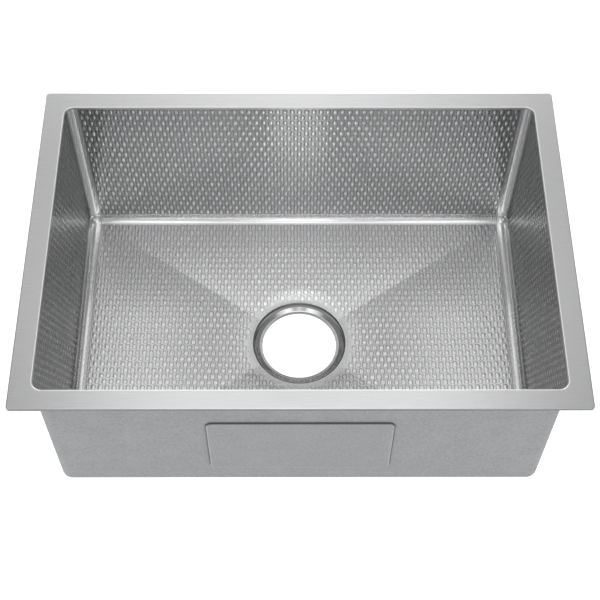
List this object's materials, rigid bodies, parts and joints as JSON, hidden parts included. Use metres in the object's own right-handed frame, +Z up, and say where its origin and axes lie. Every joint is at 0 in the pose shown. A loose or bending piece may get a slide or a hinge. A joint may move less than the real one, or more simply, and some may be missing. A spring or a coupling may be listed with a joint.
{
  "type": "kitchen sink",
  "caption": "Undermount single-bowl kitchen sink: flat plate flange welded round an embossed steel bowl with a creased floor, pressed drain seat, sound pads and undercoat.",
  "frame": {"origin": "centre of the bowl's opening, in the plane of the flange's upper face, where the worktop's underside lies", "axes": "+X to the right along the longer side, +Y to the back, +Z up; the bowl hangs below z = 0"},
  "size_m": [0.584, 0.408, 0.2333],
  "materials": {
    "satin_steel": "satin, very fine grain",
    "embossed_steel": "satin, pressed with rows of small raised ovals",
    "polished_steel": "polished, turned grain round the outlet",
    "weld_steel": "ground weld",
    "undercoat": "matte sprayed coat with a fine grain",
    "pad_rubber": "matte"
  },
  "bodies": {
    "root": {"flange_frame": "satin_steel", "bowl_wrap": "embossed_steel", "left_end_panel": "embossed_steel", "right_end_panel": "embossed_steel", "left_seam_weld": "weld_steel", "right_seam_weld": "weld_steel", "flange_weld": "weld_steel", "drain_seat": "polished_steel", "drain_weld": "weld_steel", "undercoat": "undercoat", "front_sound_pad": "pad_rubber", "back_sound_pad": "pad_rubber", "left_sound_pad": "pad_rubber", "right_sound_pad": "pad_rubber", "left_floor_pad": "pad_rubber", "right_floor_pad": "pad_rubber"}
  },
  "joints": []
}
